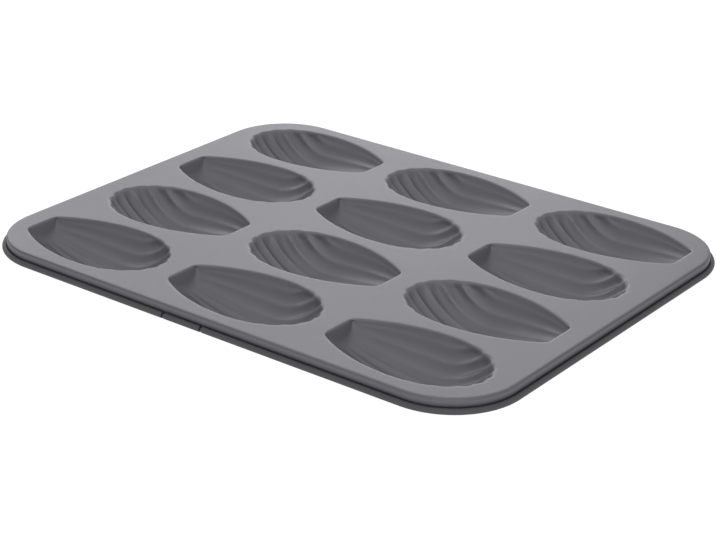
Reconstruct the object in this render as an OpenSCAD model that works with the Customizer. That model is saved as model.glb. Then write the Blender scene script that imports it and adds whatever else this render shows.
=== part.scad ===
// Madeleine pan: a tray of pressed, coated steel sheet with twelve fluted
// shell cups, and a rim wire rolled into its edge.
// Millimetres. The table is at z = 0, the pan's length runs along X, and the
// origin lies under the middle of the pan.

/* [Layout] */
// Distance between cup centres along the pan's length
cup_pitch_x = 90; // [84:0.5:105]
// Distance between cup centres across the pan's width
cup_pitch_y = 53; // [49:0.5:65]
// Flat left between the last cups and the edge, at the pan's short ends
margin_end = 10.5; // [5:0.1:25]
// Flat left between the last cups and the edge, along the pan's long sides
margin_side = 6.8; // [4:0.1:25]

/* [Sheet] */
// Thickness of the steel sheet
sheet = 0.6; // [0.5:0.05:0.9]

/* [Cups] */
// Length of a cup at the deck
cup_length = 78; // [70:0.5:86]
// Width of a cup at its belly
cup_width = 45; // [38:0.5:50]
// Depth of the bowl from the deck, before its lowest part is pressed flat
cup_depth = 17; // [13:0.5:21]
// How far the belly lies from the middle of the cup, towards the round end
belly_offset = 5; // [2:0.5:9]
// Width of the straight narrow end
tip_width = 18.6; // [14:0.2:24]
// Depth of the narrow end's flat wall
tip_depth = 8.4; // [6:0.2:10.6]
// Slope of the narrow end's flat wall, in degrees
tip_slope = 66; // [56:1:76]
// Fullness of the bowl, where a lower value gives steeper walls
bowl_power = 0.8; // [0.65:0.05:0.95]
// Width of the collar that turns from the deck down into the cup
collar = 0.4; // [0.3:0.05:0.8]

/* [Flutes] */
// Number of flutes across a cup
flute_count = 10; // [6:2:12]
// Depth of the flutes on the round end's wall
flute_depth = 1.1; // [0.6:0.1:1.5]
// Depth of the flutes on the floor
flute_depth_floor = 0.4; // [0.3:0.05:0.8]
// Depth of the flutes at the narrow end
flute_depth_tip = 0.2; // [0.1:0.05:0.6]
// How far the flutes bulge the cup's outline at the deck
rim_scallop = 0.8; // [0.3:0.1:1.2]
// How much the flutes fan out between the belly and the round end
fan_spread = 0.3; // [0.1:0.05:0.6]
// Height of the bowl's lowest part that is pressed flat, so that the pan stands on it
foot_press = 0.25; // [0.15:0.05:0.5]

/* [Rim] */
// Corner radius of the flat deck
corner_radius = 32; // [12:0.5:36]
// Outer radius of the bend from the deck into the skirt
bend_radius = 1.2; // [1.1:0.1:2.5]
// Height from the deck's face to the bottom of the rolled bead
rim_height = 6.6; // [5.6:0.1:9]
// Diameter of the rim wire
wire_diameter = 1.5; // [1.2:0.1:2.2]
// Play of the wire inside the rolled bead
wire_play = 0.05; // [0.03:0.01:0.15]
// Where the roll ends, in degrees round the wire from the outside
roll_end = 112; // [90:1:125]
// Gap between the butted ends of the rim wire
wire_gap = 1; // [0.5:0.1:3]
// Width of the two slits beside the wire's ends
slit_width = 1; // [0.6:0.1:2]
// Distance between the two slits
slit_spacing = 22; // [12:0.5:40]
// Place of the wire's ends along the front edge
slit_place = -10; // [-60:1:60]

/* [Hidden] */
$fn = 64;
rows = 4;
columns = 3;
coat_colour = [0.58, 0.58, 0.61];
cup_colour = [0.42, 0.42, 0.44];
wire_colour = [0.72, 0.72, 0.73];

// Flute lines across a cup and stations along each line
samples_per_flute = 3;
line_count = flute_count * samples_per_flute;
stations = [0, 0.215, 0.4, 0.49, 0.595, 0.72, 0.85, 0.95, 1];
last_station = len(stations) - 1;

// Outline of a cup at its crests: half an ellipse round the wide end, one arc along
// each side
half_length = cup_length / 2;
half_width = cup_width / 2;
half_tip = tip_width / 2;
nose = half_length - belly_offset - rim_scallop;
tail = half_length + belly_offset;
side_radius = (tail * tail + pow(half_width - half_tip, 2)) / (2 * (half_width - half_tip));

// The floor rises from the belly to the heel, where the narrow end's wall starts
heel_x = -half_length + tip_depth / tan(tip_slope);
floor_power = 1.7;
flute_depths = [[0, flute_depth_tip], [0.5, flute_depth_floor], [0.9, flute_depth], [1, rim_scallop]];
groove_power = 0.8;
fade_power = 6;

// The pan stands on the flats under its cups
deck_z = cup_depth - foot_press + sheet;

// Half sizes of the flat deck, and the places of the rolled bead's parts
deck_half_x = (columns - 1) / 2 * cup_pitch_x + half_length + margin_end;
deck_half_y = (rows - 1) / 2 * cup_pitch_y + half_width + margin_side;
wire_radius = wire_diameter / 2;
roll_inner = wire_radius + wire_play;
roll_outer = roll_inner + sheet;
roll_x = bend_radius + roll_inner;
roll_z = -rim_height + roll_outer;
edge_strip = 3;
straight_x = deck_half_x - corner_radius;
straight_y = deck_half_y - corner_radius;
slit_reach = 2 * roll_outer;

// Half-width of the outline at x, in front of the belly and behind it
function outline(x) =
    x >= belly_offset
        ? half_width * sqrt(max(0, 1 - pow((x - belly_offset) / nose, 2)))
        : half_width - side_radius + sqrt(pow(side_radius, 2) - pow(x - belly_offset, 2));

// Slope of the outline behind the belly
function outline_slope(x) = (belly_offset - x) / sqrt(pow(side_radius, 2) - pow(x - belly_offset, 2));

// Half-width that the flute lines share out: it grows past the belly, slowly at first
function fan_width(x) =
    x >= belly_offset
        ? half_width * (1 + fan_spread * pow((x - belly_offset) / nose, 2))
        : outline(x);

// Share of the fan's width for a flute line that meets the round end's rim at
// this angle of its ellipse
function line_share(angle) = sin(angle) / (1 + fan_spread * pow(cos(angle), 2));

// Depth of the floor's middle at x
function floor_depth(x) =
    x >= belly_offset
        ? cup_depth
        : tip_depth + (cup_depth - tip_depth) * (1 - pow(min(1, (belly_offset - x) / (belly_offset - heel_x)), floor_power));

function floor_slope(x) =
    x >= belly_offset || x <= heel_x
        ? 0
        : (cup_depth - tip_depth) * floor_power / (belly_offset - heel_x)
            * pow((belly_offset - x) / (belly_offset - heel_x), floor_power - 1);

// 1 on the middle line, falling to 0 at the outline
function inside(x, y) =
    max(0, x >= belly_offset
        ? 1 - pow((x - belly_offset) / nose, 2) - pow(y / half_width, 2)
        : 1 - pow(y / outline(x), 2));

function inside_x(x, y) =
    x >= belly_offset
        ? -2 * (x - belly_offset) / pow(nose, 2)
        : 2 * pow(y, 2) * outline_slope(x) / pow(outline(x), 3);

function inside_y(x, y) = -2 * y / pow(x >= belly_offset ? half_width : outline(x), 2);

// Direction from the smooth bowl into its hollow, level at the rim
function inward(x, y) =
    let (
        f = inside(x, y),
        d = floor_depth(x) * bowl_power,
        v = [
            floor_slope(x) * f + d * inside_x(x, y),
            d * inside_y(x, y),
            pow(f, 1 - bowl_power)
        ]
    )
    v / norm(v);

// Groove depth across the flutes, from 0 on a crest to 1 on a groove's floor, and
// fading out towards the cup's sides
function groove(i) =
    pow(abs(sin(180 * (i % samples_per_flute) / samples_per_flute)), groove_power)
        * (1 - pow(abs(2 * i / line_count - 1), fade_power));

// Point of the inner surface on flute line i at station j, with the deck at 0
function cup_point(i, j) =
    let (
        angle = -90 + 180 * i / line_count,
        share = i == 0 ? -1 : i == line_count ? 1 : line_share(angle),
        on_side = i == 0 || i == line_count,
        tip_x = -half_length + tip_depth * pow(1 - share * share, bowl_power) / tan(tip_slope),
        rim_x = belly_offset + nose * cos(angle),
        x = tip_x + (rim_x - tip_x) * stations[j],
        y = j == last_station ? half_width * sin(angle) : share * fan_width(x),
        on_rim = on_side || j == last_station,
        z = on_rim ? 0 : -floor_depth(x) * pow(inside(x, y), bowl_power),
        push = inward(x, y) * groove(i) * lookup(stations[j], flute_depths),
        low = max(z - (on_rim ? 0 : push.z), sheet - deck_z),
        side_y = on_side ? y : y - push.y
    )
    j == 0
        ? [-half_length - low / tan(tip_slope), side_y, low]
        : [on_side ? x : x - push.x, side_y, low];

// The same surface one sheet further out
stretch_x = (half_length + collar) / half_length;
stretch_y = (half_width + collar) / half_width;
function under(p) = [p.x * stretch_x, p.y * stretch_y, p.z - sheet];

// Number of a grid point, line by line
function at(i, j) = i * len(stations) + j;

// Grid points along the rim: up one side, round the wide end, back down the other
rim_line = concat(
    [for (j = [0 : last_station]) at(0, j)],
    [for (i = [1 : line_count]) at(i, last_station)],
    [for (j = [last_station - 1 : -1 : 0]) at(line_count, j)]
);
grid = [for (i = [0 : line_count]) for (j = [0 : last_station]) cup_point(i, j)];
grid_size = len(grid);
rim_size = len(rim_line);
rim_outline = [for (k = rim_line) let (p = under(grid[k])) [p.x, p.y]];

// Two triangles for each cell of the grid, split the same way on both sides
grid_faces = [
    for (i = [0 : line_count - 1])
        for (j = [0 : last_station - 1])
            let (a = at(i, j), b = at(i + 1, j), c = at(i + 1, j + 1), d = at(i, j + 1))
                each i < line_count / 2 ? [[a, b, c], [a, c, d]] : [[a, b, d], [b, c, d]]
];
tip_face = [for (i = [line_count : -1 : 0]) at(i, 0)];
top_faces = concat(grid_faces, [tip_face]);

function flipped(face) = [for (k = [len(face) - 1 : -1 : 0]) face[k]];
function shifted(face, by) = [for (k = face) k + by];

// Closed shell: inner surface, outer surface, collar's top ring and its edge
collar_start = 2 * grid_size;
shell_points = concat(
    grid,
    [for (p = grid) under(p)],
    [for (p = rim_outline) [p.x, p.y, 0]]
);
shell_faces = concat(
    top_faces,
    [for (face = top_faces) flipped(shifted(face, grid_size))],
    [
        for (k = [0 : rim_size - 1])
            let (n = (k + 1) % rim_size, r = collar_start + k, q = collar_start + n)
                each [
                    [rim_line[k], rim_line[n], q],
                    [rim_line[k], q, r],
                    [r, q, rim_line[n] + grid_size],
                    [r, rim_line[n] + grid_size, rim_line[k] + grid_size]
                ]
    ]
);

// Puts its children at a cup's place. The narrow ends of odd rows point to -X
// and those of even rows to +X.
module at_cup(row, column) {
    translate([
        (column - (columns + 1) / 2) * cup_pitch_x,
        (row - (rows + 1) / 2) * cup_pitch_y,
        0
    ])
        rotate([0, 0, row % 2 == 1 ? 0 : 180])
            children();
}

module cup(row, column) {
    color(cup_colour)
        translate([0, 0, deck_z])
            at_cup(row, column)
                polyhedron(shell_points, shell_faces, convexity = 6);
}

// Flat shape of the deck, as far as its edge strip
module deck_outline(inset) {
    corner = corner_radius - inset;
    square([2 * straight_x, 2 * (deck_half_y - inset)], center = true);
    square([2 * (deck_half_x - inset), 2 * straight_y], center = true);
    for (sx = [-1, 1], sy = [-1, 1])
        translate([sx * straight_x, sy * straight_y])
            circle(corner);
}

// Section of the edge: deck strip, bend, skirt, and the roll round the wire.
// X runs outwards from the flat deck's edge and Y runs up from its face.
module edge_section() {
    translate([-edge_strip, -sheet])
        square([edge_strip, sheet]);
    translate([0, -bend_radius])
        intersection() {
            difference() {
                circle(bend_radius);
                circle(bend_radius - sheet);
            }
            square(bend_radius);
        }
    translate([bend_radius - sheet, roll_z])
        square([sheet, -bend_radius - roll_z]);
    translate([roll_x, roll_z])
        difference() {
            circle(roll_outer);
            circle(roll_inner);
            polygon([
                [0, 0],
                2 * roll_outer * [cos(roll_end), sin(roll_end)],
                [-2 * roll_outer, 2 * roll_outer],
                [-2 * roll_outer, 0]
            ]);
        }
}

// Carries a section round the deck, with its X axis pointing outwards
module straight_run(length) {
    translate([0, length / 2, 0])
        rotate([90, 0, 0])
            linear_extrude(length)
                children();
}

module edge_all_round() {
    for (turn = [0, 180])
        rotate([0, 0, turn]) {
            translate([deck_half_x, 0, 0])
                straight_run(2 * straight_y)
                    edge_section();
            rotate([0, 0, 90])
                translate([deck_half_y, 0, 0])
                    straight_run(2 * straight_x)
                        edge_section();
        }
    for (sx = [0, 1], sy = [0, 1])
        mirror([sx, 0, 0])
            mirror([0, sy, 0])
                translate([straight_x, straight_y, 0])
                    rotate_extrude(angle = 90)
                        translate([corner_radius, 0])
                            edge_section();
}

// The two slits cut the roll and leave the skirt whole
module slits() {
    for (side = [-1, 1])
        translate([
            slit_place + side * slit_spacing / 2 - slit_width / 2,
            -deck_half_y - bend_radius - slit_reach,
            roll_z - slit_reach
        ])
            cube([slit_width, slit_reach, 2 * slit_reach]);
}

module pan_sheet() {
    color(coat_colour)
        translate([0, 0, deck_z])
            difference() {
                union() {
                    translate([0, 0, -sheet])
                        linear_extrude(sheet)
                            difference() {
                                deck_outline(edge_strip);
                                for (row = [1 : rows], column = [1 : columns])
                                    at_cup(row, column)
                                        polygon(rim_outline);
                            }
                    edge_all_round();
                }
                slits();
            }
}

module rim_wire() {
    wire_half_x = deck_half_x + roll_x;
    wire_half_y = deck_half_y + roll_x;
    ends = [slit_place - wire_gap / 2, slit_place + wire_gap / 2];
    color(wire_colour)
        translate([0, 0, deck_z + roll_z]) {
            for (sx = [-1, 1])
                translate([sx * wire_half_x, 0, 0])
                    straight_run(2 * straight_y)
                        circle(wire_radius);
            translate([-straight_x, wire_half_y, 0])
                rotate([0, 90, 0])
                    cylinder(r = wire_radius, h = 2 * straight_x);
            translate([-straight_x, -wire_half_y, 0])
                rotate([0, 90, 0])
                    cylinder(r = wire_radius, h = ends[0] + straight_x);
            translate([ends[1], -wire_half_y, 0])
                rotate([0, 90, 0])
                    cylinder(r = wire_radius, h = straight_x - ends[1]);
            for (sx = [0, 1], sy = [0, 1])
                mirror([sx, 0, 0])
                    mirror([0, sy, 0])
                        translate([straight_x, straight_y, 0])
                            rotate_extrude(angle = 90)
                                translate([corner_radius + roll_x, 0])
                                    circle(wire_radius);
        }
}

pan_sheet();
for (row = [1 : rows], column = [1 : columns])
    cup(row, column);
rim_wire();
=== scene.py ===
"""Looks of a twelve-cup madeleine pan: fluted cups pressed in coated sheet, its edge rolled round a wire.

Shapes are worked out in millimetres, with the deck's face at height 0, and go into the meshes in metres."""

import math

import bmesh
import bpy
import numpy as np
from mathutils import Matrix, Vector
from mathutils.geometry import delaunay_2d_cdt


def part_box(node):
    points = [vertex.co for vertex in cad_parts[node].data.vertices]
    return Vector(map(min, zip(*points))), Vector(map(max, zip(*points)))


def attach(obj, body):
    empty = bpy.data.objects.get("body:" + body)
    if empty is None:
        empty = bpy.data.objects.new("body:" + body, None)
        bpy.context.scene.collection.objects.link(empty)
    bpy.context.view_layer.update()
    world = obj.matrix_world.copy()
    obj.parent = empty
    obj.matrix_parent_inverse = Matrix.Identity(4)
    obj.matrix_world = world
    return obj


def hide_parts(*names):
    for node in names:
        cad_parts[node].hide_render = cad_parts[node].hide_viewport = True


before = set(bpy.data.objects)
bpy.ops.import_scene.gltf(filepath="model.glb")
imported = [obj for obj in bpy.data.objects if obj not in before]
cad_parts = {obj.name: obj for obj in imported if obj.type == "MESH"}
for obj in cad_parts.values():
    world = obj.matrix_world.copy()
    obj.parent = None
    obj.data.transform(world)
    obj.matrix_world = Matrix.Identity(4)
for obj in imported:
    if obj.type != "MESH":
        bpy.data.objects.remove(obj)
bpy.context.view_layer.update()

MM = 0.001
ROWS = range(1, 5)
COLUMNS = range(1, 4)
sheet_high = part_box("pan_sheet")[1]
DECK_Z = sheet_high.z / MM

# Sheet and rolled edge
SHEET = 0.6
BEND_RADIUS = 1.2
RIM_HEIGHT = 6.6
WIRE_RADIUS = 0.75
WIRE_PLAY = 0.05
ROLL_END = 112
ROLL_INNER = WIRE_RADIUS + WIRE_PLAY
ROLL_OUTER = ROLL_INNER + SHEET
ROLL_X = BEND_RADIUS + ROLL_INNER
ROLL_Z = -RIM_HEIGHT + ROLL_OUTER
CORNER_RADIUS = 32
DECK_HALF_X = sheet_high.x / MM - ROLL_X - ROLL_OUTER
DECK_HALF_Y = sheet_high.y / MM - ROLL_X - ROLL_OUTER
EDGE_STRIP = 2

# Slits in the roll, and the painted shade in the fold above it
SLIT_WIDTH = 1.4
SLIT_SPACING = 22
SLIT_PLACE = -10
SLIT_START = 232
FOLD_RISE = 1
FOLD_REACH = 1.6

# Cups
CUP_LENGTH = 78
CUP_WIDTH = 45
CUP_DEPTH = 17
BELLY_OFFSET = 5
TIP_WIDTH = 18.6
TIP_DEPTH = 8.4
TIP_SLOPE = math.radians(66)
TIP_ROUNDING = 3.4
BOWL_POWER = 0.8
NOSE_POWER = 1.05
FLOOR_POWER = 1.7
RIM_SCALLOP = 0.8
MOUTH_RADIUS = 0.9
COLLAR = 2
CAD_COLLAR = 0.4
SIDE_WIDENING = 0.4
WIDENING_END = -0.15
FLAT_EASE = 0.12
HALF_LENGTH = CUP_LENGTH / 2
HALF_WIDTH = CUP_WIDTH / 2
HALF_TIP = TIP_WIDTH / 2
NOSE = HALF_LENGTH - BELLY_OFFSET - RIM_SCALLOP
TAIL = HALF_LENGTH + BELLY_OFFSET
SIDE_RADIUS = (TAIL**2 + (HALF_WIDTH - HALF_TIP) ** 2) / (2 * (HALF_WIDTH - HALF_TIP))
HEEL_X = -HALF_LENGTH + TIP_DEPTH / math.tan(TIP_SLOPE)

# Flutes, whose depth is given at shares of the way from their root to the mouth, and the wear and painted
# highlight on them
FLUTE_COUNT = 10
FLUTE_ROOT = -5
FLUTE_START = 0.15
MOUTH_SCALLOP = 0.6
FLUTE_PLACES = [0, 0.3, 0.5, 0.66, 0.8, 0.95, 1]
FLUTE_DEPTHS = [0.34, 0.5, 0.55, 0.85, 1.4, 1.5, MOUTH_SCALLOP]
FADE_FROM = 0.55
FADE_TO = 0.95
FAN_SPREAD = 0.3
CREST_WIDTH = 0.12
CREST_WEAR_AND_SHEEN_START = -0.2
BEND_WEAR_AND_SHEEN_START = 0.1
MOUTH_WEAR_AND_SHEEN = 0.4

# Fineness of the meshes
SAMPLES_PER_FLUTE = 10
FLUTE_LINES = FLUTE_COUNT * SAMPLES_PER_FLUTE + 1
FLOOR_ROWS = 60
FLOOR_ROW_POWER = 1.15
WALL_ROWS = 8
MOUTH_ROWS = 7
CREASE_ROWS = 2
CREASE_ROUNDS = 16
BEND_POINTS = 7
SKIRT_POINTS = 2
LOWER_ROLL_POINTS = 6
UPPER_ROLL_POINTS = 29
FRONT_STEP = 4
LONG_STEPS = 56
SHORT_STEPS = 42
CORNER_STEPS = 28
CLOSE = 1e-6
PLAN_CLOSE = 1e-7
WELD_DISTANCE = 0.001
SHARP_ANGLE = math.radians(50)

# Colours: linear red, green, blue and alpha
COATING_SHADE = (0.262, 0.256, 0.286, 1)
COATING_LIGHT = (0.298, 0.291, 0.324, 1)
# Pale grey of the crests and mouths: part wear, part painted highlight
RUBBED_AND_SHEEN = (0.42, 0.42, 0.43, 1)
PORES = (0.1, 0.1, 0.11, 1)
# Near-black of the painted shade in the crevice between skirt and roll
FOLD_SHADE_COLOUR = (0.04, 0.038, 0.045, 1)
UNDERSIDE_SHADE = (0.14, 0.136, 0.15, 1)
UNDERSIDE_LIGHT = (0.18, 0.175, 0.19, 1)
# Steel wire painted near-black, standing in for the shade inside the slits and the roll
WIRE_PAINTED_SHADE_DARK = (0.1, 0.098, 0.095, 1)
WIRE_PAINTED_SHADE_PALE = (0.17, 0.17, 0.17, 1)
FLOOR_PALE = (0.85, 0.85, 0.85, 1)

# Camera: angles in radians, place in metres from the middle of the deck
PHOTO_WIDTH_PX = 716
FOCAL_LENGTH_PX = 1989.77
SENSOR_WIDTH = 36
CAMERA_TURN = -0.652089
CAMERA_DROP = 0.420162
CAMERA_ROLL = 0.014766
CAMERA_PLACE = (0.522235, -0.683049, 0.368422)

# Surroundings
FLOOR_HALF = 6
FLOOR_GLOW = 1.15
GLOW_TO_CAMERA = 0.88
GLOW_TO_GLOSS = 0.4
AMBIENT = 0.32
OVERHEAD = 0.27
BACKDROP = 1.2
BACKDROP_WAY = (-0.53, 0.848, -0.2)


def add_mesh(name, points, faces, materials, slots=None, **attributes):
    """Mesh object from points in millimetres from the deck, with material slots and point attributes."""
    mesh = bpy.data.meshes.new(name)
    place = (np.asarray(points, float) + [0, 0, DECK_Z]) * MM
    mesh.from_pydata(place.tolist(), [], [list(face) for face in faces])
    for material in materials:
        mesh.materials.append(material)
    if slots is not None:
        mesh.polygons.foreach_set("material_index", np.asarray(slots, np.int32))
    for key, values in attributes.items():
        mesh.attributes.new(key, "FLOAT", "POINT").data.foreach_set("value", np.asarray(values, np.float32))
    obj = bpy.data.objects.new(name, mesh)
    bpy.context.scene.collection.objects.link(obj)
    return obj


def weld(obj):
    """Merges points that lie on each other, drops faces without area and turns all faces outwards."""
    bm = bmesh.new()
    bm.from_mesh(obj.data)
    bmesh.ops.remove_doubles(bm, verts=bm.verts, dist=WELD_DISTANCE * MM)
    bmesh.ops.dissolve_degenerate(bm, edges=bm.edges, dist=WELD_DISTANCE * MM)
    bmesh.ops.recalc_face_normals(bm, faces=bm.faces)
    bm.to_mesh(obj.data)
    bm.free()
    obj.data.shade_smooth()
    obj.data.set_sharp_from_angle(angle=SHARP_ANGLE)


def grid_quads(rows, columns, first=0, wrap=False):
    """Quads of a grid stored row by row, with the last column joined to the first if it wraps."""
    r = np.arange(rows - 1)[:, None]
    c = np.arange(columns if wrap else columns - 1)[None, :]
    n = (c + 1) % columns
    a, b = r * columns + c, r * columns + n
    return (first + np.stack([a, b, b + columns, a + columns], -1)).reshape(-1, 4)


def unit(vectors):
    """Vectors of the same direction, one long."""
    return vectors / np.linalg.norm(vectors, axis=-1, keepdims=True)


def outline(x):
    """Half-width of a cup's mouth: an arc from the belly back to the narrow end, half an ellipse in front."""
    back = HALF_WIDTH - SIDE_RADIUS + np.sqrt(SIDE_RADIUS**2 - np.minimum(x - BELLY_OFFSET, 0) ** 2)
    front = HALF_WIDTH * np.sqrt(np.clip(1 - ((x - BELLY_OFFSET) / NOSE) ** 2, 0, 1))
    return np.where(x >= BELLY_OFFSET, front, back)


def outline_slope(x):
    """Slope of the mouth's side arc at x: the run from the belly over the height above the arc's centre."""
    run = np.minimum(x - BELLY_OFFSET, 0)
    return -run / np.sqrt(SIDE_RADIUS**2 - run**2)


def floor_depth(x):
    """Depth of the middle: level from the round end to the belly, then a power curve up to the heel."""
    back = np.clip((BELLY_OFFSET - x) / (BELLY_OFFSET - HEEL_X), 0, 1)
    return TIP_DEPTH + (CUP_DEPTH - TIP_DEPTH) * (1 - back**FLOOR_POWER)


def bowl_power(x):
    """Power by which the walls curve up: it grows from the belly to the less steep wall of the round end."""
    ahead = np.clip((x - BELLY_OFFSET) / NOSE, 0, 1)
    return BOWL_POWER + (NOSE_POWER - BOWL_POWER) * ahead**2


def mouth_share(x):
    """How far in, from 0 at the mouth's outline to 1 in the middle, the wall is one mouth radius deep."""
    return (MOUTH_RADIUS / floor_depth(x)) ** (1 / bowl_power(x))


def flute_angles():
    """Angle of each flute line about the belly, in radians: even steps from one side to the other."""
    return np.radians(-90 + 180 * np.arange(FLUTE_LINES) / (FLUTE_LINES - 1))


def flute_shares(angle):
    """Share of the half-width at which a flute line runs: its angle's sine, drawn in towards the middle.

    In front of the belly the lines spread by as much again, and reach the mouth's ellipse at their angle."""
    return np.sin(angle) / (1 + FAN_SPREAD * np.cos(angle) ** 2)


def flute_groove():
    """Depth of the grooves across the flute lines: a sine with its cusp rounded, fading to the two sides."""
    line = np.arange(FLUTE_LINES)
    aside = np.abs(2 * line / (FLUTE_LINES - 1) - 1)
    left = np.clip((FADE_TO - aside) / (FADE_TO - FADE_FROM), 0, 1)
    wave = np.sin(np.pi * line / SAMPLES_PER_FLUTE) ** 2
    hump = (np.sqrt(wave + CREST_WIDTH**2) - CREST_WIDTH) / (math.sqrt(1 + CREST_WIDTH**2) - CREST_WIDTH)
    return hump * left**2 * (3 - 2 * left)


def stations():
    """Shares of the way along a flute line at which its rows lie: even steps raised to a power."""
    return np.linspace(0, 1, FLOOR_ROWS) ** FLOOR_ROW_POWER


def pressed(height):
    """Heights held above the level on which the pan stands: a hyperbola eases into it without an edge."""
    level = SHEET - DECK_Z
    over = height - level
    return level + (over + np.sqrt(over**2 + FLAT_EASE**2)) / 2


def fluted_bowl():
    """Bowl of a cup as a grid: rows are stations along the flute lines, columns are the lines.

    Depth is the floor's depth times the bowl's power of how far inside the outline a point lies, and the
    grooves push the surface out along its normal."""
    angle = flute_angles()
    share = flute_shares(angle)
    station = stations()[:, None]
    tip_mouth = (MOUTH_RADIUS / TIP_DEPTH) ** (1 / BOWL_POWER)
    tip_inside = tip_mouth + (1 - tip_mouth) * (1 - share**2)
    tip_x = -HALF_LENGTH + TIP_DEPTH * tip_inside**BOWL_POWER / math.tan(TIP_SLOPE)
    rim_x = BELLY_OFFSET + NOSE * np.cos(angle)
    x = tip_x + (rim_x - tip_x) * station
    fan = HALF_WIDTH * (1 + FAN_SPREAD * ((x - BELLY_OFFSET) / NOSE) ** 2)
    shrink = np.sqrt(1 - mouth_share(x))
    y = share * np.where(x >= BELLY_OFFSET, fan, outline(x)) * shrink
    x = np.where(x >= BELLY_OFFSET, BELLY_OFFSET + (x - BELLY_OFFSET) * shrink, x)

    front = x >= BELLY_OFFSET
    width = np.where(front, HALF_WIDTH, outline(x))
    past_belly = np.where(front, (x - BELLY_OFFSET) / NOSE, 0)
    inside = np.clip(1 - past_belly**2 - (y / width) ** 2, 1e-4, 1)
    plain = np.stack([x, y, -floor_depth(x) * inside ** bowl_power(x)], -1)
    inward = unit(np.cross(*np.gradient(plain, axis=(0, 1))))
    ahead = (x - FLUTE_ROOT) / (rim_x * shrink - FLUTE_ROOT)
    depth = np.interp(ahead, FLUTE_PLACES, FLUTE_DEPTHS) * np.minimum(station / FLUTE_START, 1)
    surface = plain - inward * (flute_groove() * depth)[..., None]
    surface[..., 2] = pressed(surface[..., 2])
    return surface


def eased(grid):
    """Rounds the crease at the foot of the end wall: points near it move between their neighbours."""
    row = np.arange(len(grid))[:, None, None]
    near = np.exp(-((row - WALL_ROWS) / CREASE_ROWS) ** 2)
    for _ in range(CREASE_ROUNDS):
        middle = grid.copy()
        middle[1:-1] = (grid[:-2] + grid[2:]) / 2
        grid = grid + (middle - grid) * near / 2
    return grid


def cup_grid():
    """Inner surface of a cup below its rounded mouth: the narrow end's flat wall, then the fluted bowl.

    The bowl's first row is moved onto the wall's plane, and the wall's rows run straight down to it."""
    bowl = fluted_bowl()
    foot = bowl[0]
    foot[:, 0] = -HALF_LENGTH - foot[:, 2] / math.tan(TIP_SLOPE)
    top = foot.copy()
    top[:, 0] = -HALF_LENGTH + MOUTH_RADIUS / math.tan(TIP_SLOPE)
    top[:, 2] = -MOUTH_RADIUS
    down = np.linspace(0, 1, WALL_ROWS, endpoint=False)[:, None, None]
    return eased(np.concatenate([top + (foot - top) * down, bowl]))


def around(grid):
    """The grid's border points in order: along one side, round the round end, back, and across the tip."""
    return np.concatenate([
        grid[WALL_ROWS:, 0], grid[-1, 1:], grid[WALL_ROWS:-1, -1][::-1], grid[0, 1:-1][::-1]])


def cornered(rim, normal):
    """Rounds the narrow end's two corners: points within reach of one move to a quadratic curve past it."""
    for sign in (-1, 1):
        corner = np.array([-HALF_LENGTH, sign * HALF_TIP])
        side_way = unit(np.array([1, sign * outline_slope(-HALF_LENGTH)]))
        tip_way = np.array([0, -sign])
        offset = rim - corner
        away = np.linalg.norm(offset, axis=-1)[:, None] / TIP_ROUNDING
        t = np.where(offset[:, :1] > 1e-9, 1 - away, 1 + away) / 2
        curve = corner + TIP_ROUNDING * ((1 - t) ** 2 * side_way + t**2 * tip_way)
        facing = (1 - t) * sign * np.array([-side_way[1], side_way[0]]) + t * np.array([-1, 0])
        rim = np.where(away < 1, curve, rim)
        normal = np.where(away < 1, unit(facing), normal)
    return rim, normal


def mouth_rim():
    """Rim line of the mouth and its outward normals, one for each point of the grid's border.

    It follows the outline, is scalloped by the grooves along the ellipse, and is straight across the tip."""
    angle = flute_angles()
    end = np.stack([BELLY_OFFSET + NOSE * np.cos(angle), HALF_WIDTH * np.sin(angle)], -1)
    end_normal = unit(np.stack([np.cos(angle) / NOSE, np.sin(angle) / HALF_WIDTH], -1))
    end = end + end_normal * (flute_groove() * MOUTH_SCALLOP)[:, None]
    side_x = -HALF_LENGTH + TAIL * stations()
    side = np.stack([side_x, outline(side_x)], -1)
    side_normal = unit(np.stack([-outline_slope(side_x), np.ones(FLOOR_ROWS)], -1))
    tip = np.stack([np.full(FLUTE_LINES, -HALF_LENGTH), flute_shares(angle) * HALF_TIP], -1)
    tip_normal = np.stack([-np.ones(FLUTE_LINES), np.zeros(FLUTE_LINES)], -1)
    flip = np.array([1, -1])
    rim = np.concatenate([side * flip, end[1:], side[:-1][::-1], tip[1:-1][::-1]])
    normal = np.concatenate([
        side_normal * flip, end_normal[1:], side_normal[:-1][::-1], tip_normal[1:-1][::-1]])
    return cornered(rim, normal)


def mouth_ring(border):
    """Rounded mouth: from the grid's border a quadratic curve bends over the rim line into the flat deck."""
    rim, normal = mouth_rim()
    level = np.zeros((len(rim), 1))
    corner = np.concatenate([rim, level], -1)
    outward = np.concatenate([normal, level], -1)
    t = np.linspace(0, 1, MOUTH_ROWS)[:, None, None]
    bend = (1 - t) ** 2 * border + 2 * t * (1 - t) * corner + t**2 * (corner + outward * MOUTH_RADIUS)
    flat = corner + outward * COLLAR
    return np.concatenate([bend, flat[None]])


def underside(grid, keep):
    """The same surface one sheet lower, widened a little so that steep walls keep their thickness."""
    return np.stack([
        grid[..., 0] * (1 + SIDE_WIDENING / HALF_LENGTH * keep),
        grid[..., 1] * (1 + SIDE_WIDENING / HALF_WIDTH * keep),
        grid[..., 2] - SHEET], -1)


def cup_wear(grid, ring):
    """Wear and painted highlight on a cup's inner points: they climb along the crests to the mouth, and are
    slight on its bend.
    """
    climb = np.linspace(CREST_WEAR_AND_SHEEN_START, 1, len(grid)).clip(0)[:, None]
    crests = (1 - flute_groove()) * climb
    # The mouth's bend gets a painted highlight as well as wear
    bend = MOUTH_WEAR_AND_SHEEN * np.sin(np.pi * np.linspace(BEND_WEAR_AND_SHEEN_START, 1, len(ring)))
    return np.concatenate([crests.ravel(), np.repeat(bend, ring.shape[1])])


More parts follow.
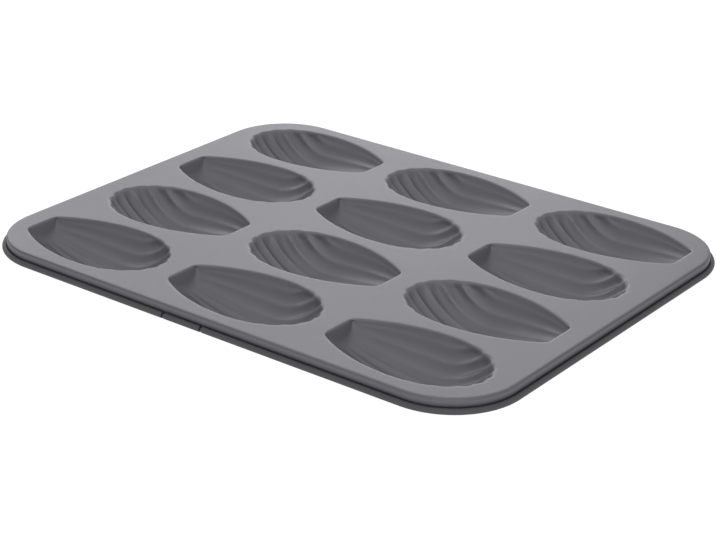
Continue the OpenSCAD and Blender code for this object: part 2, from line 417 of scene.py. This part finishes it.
def cup_shell():
    """A whole cup, with both sides of its sheet: points, faces, material slots, wear with painted highlight,
    and its outer loop.

    The inner and outer surfaces are closed by the cut where the cup leaves the deck. The outer one's widening
    fades over the mouth, and is gone at the cut."""
    grid = cup_grid()
    ring = mouth_ring(around(grid))
    keep = np.linspace(1, WIDENING_END, len(ring)).clip(0)[:, None]
    parts = [grid, ring, underside(grid, 1), underside(ring, keep)]
    points = np.concatenate([part.reshape(-1, 3) for part in parts])
    starts = np.cumsum([0] + [part.shape[0] * part.shape[1] for part in parts])
    size = ring.shape[1]
    edge = starts[1] + (len(ring) - 1) * size + np.arange(size)
    after = np.roll(edge, -1)
    lower = starts[3] - starts[1]
    faces = [
        grid_quads(*grid.shape[:2], starts[0])[:, ::-1],
        grid_quads(*ring.shape[:2], starts[1], True),
        grid_quads(*grid.shape[:2], starts[2]),
        grid_quads(*ring.shape[:2], starts[3], True)[:, ::-1],
        np.stack([edge, after, after + lower, edge + lower], -1)]
    slots = np.repeat([0, 0, 1, 1, 1], [len(group) for group in faces])
    wear = np.zeros(len(points))
    wear[:starts[2]] = cup_wear(grid, ring)
    return points, np.concatenate(faces), slots, wear, ring[-1]


def placed(points, row, column):
    """Points of a cup moved to its CAD node's place. Odd rows point along +X, even ones the other way."""
    low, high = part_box(f"cup_r{row}c{column}")
    turn = 1 if row % 2 else -1
    tip_x = (low.x if turn > 0 else high.x) / MM
    middle_x = tip_x + turn * (HALF_LENGTH + CAD_COLLAR)
    middle_y = (low.y + high.y) / 2 / MM
    return points * [turn, turn, 1] + [middle_x, middle_y, 0]


def edge_path():
    """Points along the flat deck's outline and their outward normals, with points at the slits' sides.

    Each side is a straight line followed by a quarter circle."""
    slits = [
        SLIT_PLACE + side * SLIT_SPACING / 2 + half * SLIT_WIDTH / 2 for side in (-1, 1) for half in (-1, 1)]
    long_half = DECK_HALF_X - CORNER_RADIUS
    short_half = DECK_HALF_Y - CORNER_RADIUS
    stops = [-long_half, *slits, long_half]
    front = np.concatenate([
        np.linspace(a, b, max(1, round((b - a) / FRONT_STEP)), endpoint=False)
        for a, b in zip(stops[:-1], stops[1:])])
    plain = np.linspace(-long_half, long_half, LONG_STEPS, endpoint=False)
    short = np.linspace(-short_half, short_half, SHORT_STEPS, endpoint=False)
    arc = np.radians(np.linspace(0, 90, CORNER_STEPS, endpoint=False))
    sides = [
        (front, -90, DECK_HALF_Y, long_half, short_half), (short, 0, DECK_HALF_X, short_half, long_half),
        (plain, 90, DECK_HALF_Y, long_half, short_half), (short, 180, DECK_HALF_X, short_half, long_half)]
    points, normals = [], []
    for along, facing, reach, half, other in sides:
        out = np.array([math.cos(math.radians(facing)), math.sin(math.radians(facing))])
        way = np.array([-out[1], out[0]])
        points.append(way * along[:, None] + out * reach)
        normals.append(np.repeat(out[None], len(along), 0))
        turn = np.radians(facing) + arc
        swing = np.stack([np.cos(turn), np.sin(turn)], -1)
        points.append(way * half + out * other + swing * CORNER_RADIUS)
        normals.append(swing)
    return np.concatenate(points), np.concatenate(normals)


def edge_section():
    """Outer and inner face of the sheet's edge, point for point, and the number of the slits' first point.

    Each face is a list of (outwards, up) from the flat deck's edge: strip, bend, skirt and roll. The roll is
    a turn about the wire, whose inside is the sheet's outer face."""
    bend = np.radians(np.linspace(90, 0, BEND_POINTS))
    lower_roll = np.linspace(180, SLIT_START, LOWER_ROLL_POINTS)
    upper_roll = np.linspace(SLIT_START, 360 + ROLL_END, UPPER_ROLL_POINTS + 1)[1:]
    roll = np.radians(np.concatenate([lower_roll, upper_roll]))
    skirt = np.linspace(-BEND_RADIUS, ROLL_Z, SKIRT_POINTS + 2)[1:-1]
    faces = []
    for inset, roll_r in ((0, ROLL_INNER), (SHEET, ROLL_OUTER)):
        bend_r = BEND_RADIUS - inset
        strip = np.array([[-EDGE_STRIP, -inset], [-EDGE_STRIP / 2, -inset]])
        curve = np.stack([bend_r * np.cos(bend), bend_r * np.sin(bend) - BEND_RADIUS], -1)
        straight = np.stack([np.full(SKIRT_POINTS, bend_r), skirt], -1)
        turn = np.stack([ROLL_X + roll_r * np.cos(roll), ROLL_Z + roll_r * np.sin(roll)], -1)
        faces.append(np.concatenate([strip, curve, straight, turn]))
    slit_from = len(strip) + BEND_POINTS + SKIRT_POINTS + LOWER_ROLL_POINTS - 1
    return faces[0], faces[1], slit_from


def carried(section, path, normal):
    """A section carried along the path: each row holds the section's points at one point of the path."""
    plan = path[:, None] + normal[:, None] * section[None, :, :1]
    height = np.broadcast_to(section[None, :, 1:], (len(path), len(section), 1))
    return np.concatenate([plan, height], -1)


def slit_steps(path):
    """Marks the two steps of the path, by their first points, that the slits take up on the front side."""
    front = np.abs(path[:, 1] + DECK_HALF_Y) < CLOSE
    starts = [SLIT_PLACE + side * SLIT_SPACING / 2 - SLIT_WIDTH / 2 for side in (-1, 1)]
    return front & (np.abs(path[:, :1] - starts) < CLOSE).any(1)


def edge_faces(in_slit, size, slit_from):
    """Face groups of the edge: outer side, inner side, end of the roll, and the cut faces of each slit."""
    count = len(in_slit)
    inner = count * size
    k = np.arange(count)[:, None]
    q = np.arange(size - 1)[None, :]
    here, there = k * size + q, (k + 1) % count * size + q
    kept = ~(in_slit[:, None] & (q >= slit_from))
    quads = np.stack([here, here + 1, there + 1, there], -1)[kept]
    whole = np.nonzero(~in_slit)[0]
    end, end_after = whole * size + size - 1, (whole + 1) % count * size + size - 1
    groups = [quads, inner + quads[:, ::-1], np.stack([end, inner + end, inner + end_after, end_after], -1)]
    for start in np.nonzero(in_slit)[0]:
        after = (start + 1) % count
        low, high = start * size + slit_from, after * size + slit_from
        groups.append(np.array([[low, inner + low, inner + high, high]]))
        for cut in (start, after):
            m = cut * size + np.arange(slit_from, size - 1)
            groups.append(np.stack([m, m + 1, inner + m + 1, inner + m], -1))
    return groups


def deck_plan(loops):
    """Points and triangles of the deck between its outline, the first loop, and the mouths, the others.

    They are a constrained Delaunay mesh, of which the triangles inside the outline alone are kept."""
    flat = np.concatenate(loops)[:, :2]
    bounds = np.cumsum([0] + [len(loop) for loop in loops])
    rings = [np.arange(first, last) for first, last in zip(bounds[:-1], bounds[1:])]
    edges = np.concatenate([np.stack([ring, np.roll(ring, -1)], -1) for ring in rings])
    found = delaunay_2d_cdt(
        [Vector(point) for point in flat.tolist()], edges.tolist(), [ring.tolist() for ring in rings],
        0, PLAN_CLOSE)
    plan = np.array([tuple(point) for point in found[0]])
    in_deck = np.array([set(owners) == {0} for owners in found[5]])
    return np.concatenate([plan, np.zeros((len(plan), 1))], -1), np.array(found[2])[in_deck]


def fold_grime(section):
    """Painted shade on a section's points: a Gaussian of their distance from the fold between skirt and roll.
    """
    # Painted shade: darkest where the roll folds back against the skirt
    fold = np.array([BEND_RADIUS, ROLL_Z + FOLD_RISE])
    return np.exp(-np.sum((section - fold) ** 2, -1) / FOLD_REACH**2)


def pan_sheet():
    """Deck with its twelve openings, and the edge section carried round it: points, faces, slots and painted
    shade.

    The sheet has an upper and a lower face all over, joined by a wall at each opening and at the roll's
    end."""
    path, normal = edge_path()
    outer, inner, slit_from = edge_section()
    sides = [carried(section, path, normal) for section in (outer, inner)]
    points = [side.reshape(-1, 3) for side in sides]
    groups = edge_faces(slit_steps(path), len(outer), slit_from)

    mouth = cup_shell()[-1]
    mouths = [placed(mouth, row, column) for row in ROWS for column in COLUMNS]
    deck, triangles = deck_plan([sides[0][:, 0]] + mouths)
    coated = (0, len(groups))
    first = 2 * len(path) * len(outer)
    # Painted shade in the crevice of the rolled edge, for each point
    grime = np.concatenate([np.tile(fold_grime(section), len(path)) for section in (outer, inner)])
    points += [deck, deck - [0, 0, SHEET]]
    groups += [first + triangles, first + len(deck) + triangles[:, ::-1]]
    first += 2 * len(deck)
    for loop in mouths:
        ring = first + np.arange(len(loop))
        after = np.roll(ring, -1)
        points += [loop, loop - [0, 0, SHEET]]
        groups.append(np.stack([ring, after, after + len(loop), ring + len(loop)], -1))
        first += 2 * len(loop)
    slots = np.concatenate([np.full(len(group), 0 if i in coated else 1) for i, group in enumerate(groups)])
    grime = np.concatenate([grime, np.zeros(first - len(grime))])
    return np.concatenate(points), [face for group in groups for face in group.tolist()], slots, grime


class Field:
    """Value in a node tree: arithmetic on it adds Math nodes."""

    def __init__(self, tree, socket):
        self.tree = tree
        self.socket = socket

    def maths(self, operation, *terms):
        """Result of a Math node for the terms, each a field or a number."""
        return add_node(self.tree, "ShaderNodeMath", {"operation": operation}, dict(enumerate(terms)))[0]

    def __add__(self, other):
        return self.maths("ADD", self, other)

    __radd__ = __add__

    def __mul__(self, other):
        return self.maths("MULTIPLY", self, other)

    __rmul__ = __mul__

    def __pow__(self, power):
        return self.maths("POWER", self, power)

    def floored(self, low):
        """The value, or the low one where it is less."""
        return self.maths("MAXIMUM", self, low)


def add_node(tree, kind, settings=None, inputs=None):
    """Outputs of a new node, with its settings, and its inputs set from values or linked from fields."""
    node = tree.nodes.new(kind)
    for key, value in (settings or {}).items():
        setattr(node, key, value)
    for key, value in (inputs or {}).items():
        if isinstance(value, Field):
            tree.links.new(value.socket, node.inputs[key])
        else:
            node.inputs[key].default_value = value
    return [Field(tree, socket) for socket in node.outputs]


def noise(tree, place, grain, detail=2, roughness=0.5):
    """Noise from 0 to 1 whose grains are about that many millimetres wide."""
    return add_node(tree, "ShaderNodeTexNoise", {}, {
        "Vector": place, "Scale": 1 / (grain * MM), "Detail": detail, "Roughness": roughness})[0]


def mixed(tree, factor, first, second):
    """Colour between two colours: a Mix node's inputs 6 and 7 and its output 2 are the ones for colours."""
    return add_node(tree, "ShaderNodeMix", {"data_type": "RGBA"}, {0: factor, 6: first, 7: second})[2]


def attribute(tree, name):
    """Value of a mesh's point attribute, the node's output 2, which is 0 on a mesh that has none."""
    return add_node(tree, "ShaderNodeAttribute", {"attribute_name": name})[2]


def aligned(tree, way, other):
    """Dot product of a field and a direction."""
    return add_node(tree, "ShaderNodeVectorMath", {"operation": "DOT_PRODUCT"}, {0: way, 1: other})[1]


def new_material(name):
    """Material with its tree, its shader and the object's own coordinates."""
    material = bpy.data.materials.new(name)
    material.use_nodes = True
    tree = material.node_tree
    # Output 3 is the Object coordinates
    place = add_node(tree, "ShaderNodeTexCoord")[3]
    return material, tree, tree.nodes["Principled BSDF"], place


def drive(tree, shader, **fields):
    """Links fields to the shader's inputs, whose names are written with underscores."""
    for name, field in fields.items():
        tree.links.new(field.socket, shader.inputs[name.replace("_", " ")])


def bump(tree, height, strength, distance):
    """Normal bent by a height of that many millimetres."""
    return add_node(tree, "ShaderNodeBump", {}, {
        "Height": height, "Strength": strength, "Distance": distance * MM})[0]


def darkened_in_fold(tree, tone, mottle):
    """The tone darkened by half to four fifths of the painted shade in the fold, as the mottle varies."""
    # Painted shade: the tone is pulled towards near-black in the crevice of the rolled edge
    return mixed(tree, attribute(tree, "grime") * (0.5 + 0.3 * mottle), tone, FOLD_SHADE_COLOUR)


def coating():
    """Satin cool grey coating: dark pores, faint cloudy patches, crests and mouths lighter from wear and
    painted highlight, painted shade in the fold.
    """
    material, tree, shader, place = new_material("satin_grey_coating")
    grain = noise(tree, place, 0.5, 3, 0.6)
    cloud = noise(tree, place, 38, 3, 0.55)
    specks = noise(tree, place, 2.2, 2, 0.6)
    tone = mixed(tree, cloud, COATING_SHADE, COATING_LIGHT)
    # Wear and painted highlight: crests and the mouths' bend are lightened towards pale grey
    tone = mixed(tree, attribute(tree, "wear") * (0.25 + 0.5 * specks), tone, RUBBED_AND_SHEEN)
    tone = mixed(tree, 0.22 * grain, tone, PORES)
    drive(tree, shader, Base_Color=darkened_in_fold(tree, tone, specks), Roughness=0.37 + 0.08 * cloud + 0.07 * specks,
          Normal=bump(tree, grain + 0.5 * specks, 0.35, 0.03))
    shader.inputs["Metallic"].default_value = 0.6
    return material


def underside_finish():
    """Plain dark finish of the sheet's lower face: a mottled tone, with painted shade in the fold."""
    material, tree, shader, place = new_material("dark_underside")
    grain = noise(tree, place, 0.6, 3, 0.6)
    patches = noise(tree, place, 14, 4, 0.6)
    tone = mixed(tree, patches, UNDERSIDE_SHADE, UNDERSIDE_LIGHT)
    drive(tree, shader, Base_Color=darkened_in_fold(tree, tone, patches), Roughness=0.42 + 0.2 * patches,
          Normal=bump(tree, grain, 0.4, 0.03))
    return material


def steel():
    """Drawn steel wire, painted dark as the shade in the slits and the roll's gap; stained in patches and
    finely streaked.
    """
    material, tree, shader, place = new_material("drawn_steel")
    streaks = noise(tree, place, 0.4, 4, 0.7)
    stain = noise(tree, place, 9, 3)
    # Painted shade: the wire's tone is kept near black so that the slits look shaded
    drive(tree, shader, Base_Color=mixed(tree, stain, WIRE_PAINTED_SHADE_DARK, WIRE_PAINTED_SHADE_PALE), Roughness=0.28 + 0.2 * streaks,
          Normal=bump(tree, streaks, 0.3, 0.02))
    shader.inputs["Metallic"].default_value = 1
    return material


def build_pan():
    """The cups and the deck in place of their CAD nodes, all on the pan's body, and the CAD wire's finish."""
    finishes = [coating(), underside_finish()]
    points, faces, slots, wear, _ = cup_shell()
    for row in ROWS:
        for column in COLUMNS:
            cup = add_mesh(
                f"shell_cup_r{row}c{column}", placed(points, row, column), faces, finishes, slots, wear=wear)
            weld(cup)
            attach(cup, "root")
            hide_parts(f"cup_r{row}c{column}")
    points, faces, slots, grime = pan_sheet()
    deck = add_mesh("deck_and_rolled_edge", points, faces, finishes, slots, grime=grime)
    weld(deck)
    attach(deck, "root")
    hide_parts("pan_sheet")
    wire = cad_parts["rim_wire"]
    wire.data.materials.clear()
    wire.data.materials.append(steel())


def add_camera():
    """Camera at the photograph's place, as fitted to the outlines of the twelve cups."""
    level = math.cos(CAMERA_DROP)
    forward = Vector((math.sin(CAMERA_TURN) * level, math.cos(CAMERA_TURN) * level, -math.sin(CAMERA_DROP)))
    right = Vector((math.cos(CAMERA_TURN), -math.sin(CAMERA_TURN), 0))
    up = right.cross(forward)
    rolled_right = math.cos(CAMERA_ROLL) * right + math.sin(CAMERA_ROLL) * up
    rolled_up = -math.sin(CAMERA_ROLL) * right + math.cos(CAMERA_ROLL) * up
    data = bpy.data.cameras.new("camera")
    data.sensor_fit = "HORIZONTAL"
    data.sensor_width = SENSOR_WIDTH
    data.lens = FOCAL_LENGTH_PX * SENSOR_WIDTH / PHOTO_WIDTH_PX
    data.clip_start = 0.01
    camera = bpy.data.objects.new("camera", data)
    axes = Matrix((rolled_right, rolled_up, -forward)).transposed().to_4x4()
    x, y, above_deck = CAMERA_PLACE
    camera.matrix_world = Matrix.Translation(Vector((x, y, above_deck + DECK_Z * MM))) @ axes
    bpy.context.scene.collection.objects.link(camera)
    bpy.context.scene.camera = camera


def add_stage():
    """Pale floor, mixed with a white glow: mostly glow for the camera, and less for glossy reflections."""
    material, tree, shader, _ = new_material("white_floor")
    shader.inputs["Base Color"].default_value = FLOOR_PALE
    shader.inputs["Roughness"].default_value = 0.8
    glow = add_node(tree, "ShaderNodeEmission", {}, {"Strength": FLOOR_GLOW})[0]
    # Output 0 is 1 for camera rays, and output 3 for glossy ones
    rays = add_node(tree, "ShaderNodeLightPath")
    share = rays[0] * GLOW_TO_CAMERA + rays[3] * GLOW_TO_GLOSS
    plain = Field(tree, shader.outputs[0])
    blend = add_node(tree, "ShaderNodeMixShader", {}, {0: share, 1: plain, 2: glow})[0]
    tree.links.new(blend.socket, tree.nodes["Material Output"].inputs[0])
    signs = np.array([[-1, -1, 0], [1, -1, 0], [1, 1, 0], [-1, 1, 0]])
    floor = add_mesh("floor", signs * FLOOR_HALF / MM - [0, 0, DECK_Z], [[0, 1, 2, 3]], [material])


def add_light(name, place, size, power):
    """Soft square lamp that faces the pan, with its place and size in metres and its power in watts."""
    data = bpy.data.lights.new(name, "AREA")
    data.size = size
    data.energy = power
    lamp = bpy.data.objects.new(name, data)
    lamp.location = place
    lamp.rotation_euler = (-Vector(place)).to_track_quat("-Z", "Y").to_euler()
    bpy.context.scene.collection.objects.link(lamp)


def add_world():
    """White surroundings: a bright backdrop behind the pan, soft light overhead, dimmer elsewhere.

    The backdrop is the eighth power of the cosine from its own direction, the overhead light the square of
    the cosine from straight up."""
    world = bpy.data.worlds.new("studio")
    world.use_nodes = True
    tree = world.node_tree
    # Output 0 is the direction that a ray takes
    way = add_node(tree, "ShaderNodeTexCoord")[0]
    behind = aligned(tree, way, BACKDROP_WAY).floored(0)
    above = aligned(tree, way, (0, 0, 1)).floored(0)
    strength = AMBIENT + OVERHEAD * above**2 + BACKDROP * behind**8
    background = tree.nodes["Background"]
    background.inputs["Color"].default_value = (1, 1, 1, 1)
    tree.links.new(strength.socket, background.inputs["Strength"])
    bpy.context.scene.world = world


build_pan()
add_camera()
add_stage()
add_light("backlight", (-1.0, 1.42, 0.6), 0.8, 2.6)
add_light("side_softbox", (-0.9, 0.35, 0.45), 0.5, 1)
add_light("fill", (0.5, -0.55, 0.45), 0.4, 0.3)
add_world()
bpy.context.scene.view_settings.view_transform = "Standard"
